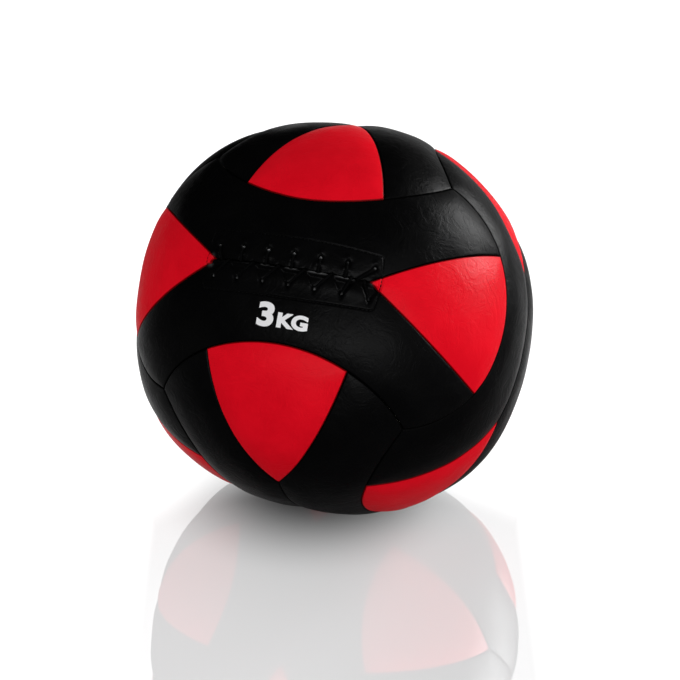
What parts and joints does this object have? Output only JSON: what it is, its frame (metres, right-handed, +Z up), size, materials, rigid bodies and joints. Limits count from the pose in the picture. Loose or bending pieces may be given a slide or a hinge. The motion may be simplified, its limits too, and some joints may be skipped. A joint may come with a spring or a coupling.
{
  "type": "wall ball",
  "caption": "Soft stuffed wall ball sewn from black panels and red inserts, laced shut on one side, with a bagged weight in its wadding.",
  "frame": {"origin": "middle of the flat that the ball settles on", "axes": "+Z up; -Y is the side that the lacing faces, tipped up 40 degrees; +X is to the right of the lacing seen from in front"},
  "size_m": [0.3434, 0.3618, 0.3487],
  "materials": {
    "black_vinyl": "satin black synthetic leather",
    "red_vinyl": "satin red synthetic leather",
    "lace": "round black braided cord",
    "canvas": "plain woven cloth",
    "fibre": "loose textile wadding",
    "sand": "dry sand"
  },
  "bodies": {
    "root": {"black_panel_back_lower": "black_vinyl", "black_panel_back_upper": "black_vinyl", "black_panel_bottom_left": "black_vinyl", "black_panel_bottom_right": "black_vinyl", "black_panel_front_lower": "black_vinyl", "black_panel_front_upper": "black_vinyl", "black_panel_left_back": "black_vinyl", "black_panel_left_front": "black_vinyl", "black_panel_right_back": "black_vinyl", "black_panel_right_front": "black_vinyl", "black_panel_top_left": "black_vinyl", "black_panel_top_right": "black_vinyl", "lace_cord": "lace", "lacing_strip_lower": "black_vinyl", "lacing_strip_upper": "black_vinyl", "lacing_tongue": "black_vinyl", "lining_bag": "canvas", "red_insert_back_left": "red_vinyl", "red_insert_back_right": "red_vinyl", "red_insert_bottom_back": "red_vinyl", "red_insert_bottom_front": "red_vinyl", "red_insert_front_left": "red_vinyl", "red_insert_front_right": "red_vinyl", "red_insert_left_lower": "red_vinyl", "red_insert_left_upper": "red_vinyl", "red_insert_right_lower": "red_vinyl", "red_insert_right_upper": "red_vinyl", "red_insert_top_back": "red_vinyl", "red_insert_top_front": "red_vinyl", "sand_fill": "sand", "wadding_back": "fibre", "wadding_front": "fibre", "weight_bag": "canvas", "weight_bag_tie": "lace"}
  },
  "joints": []
}
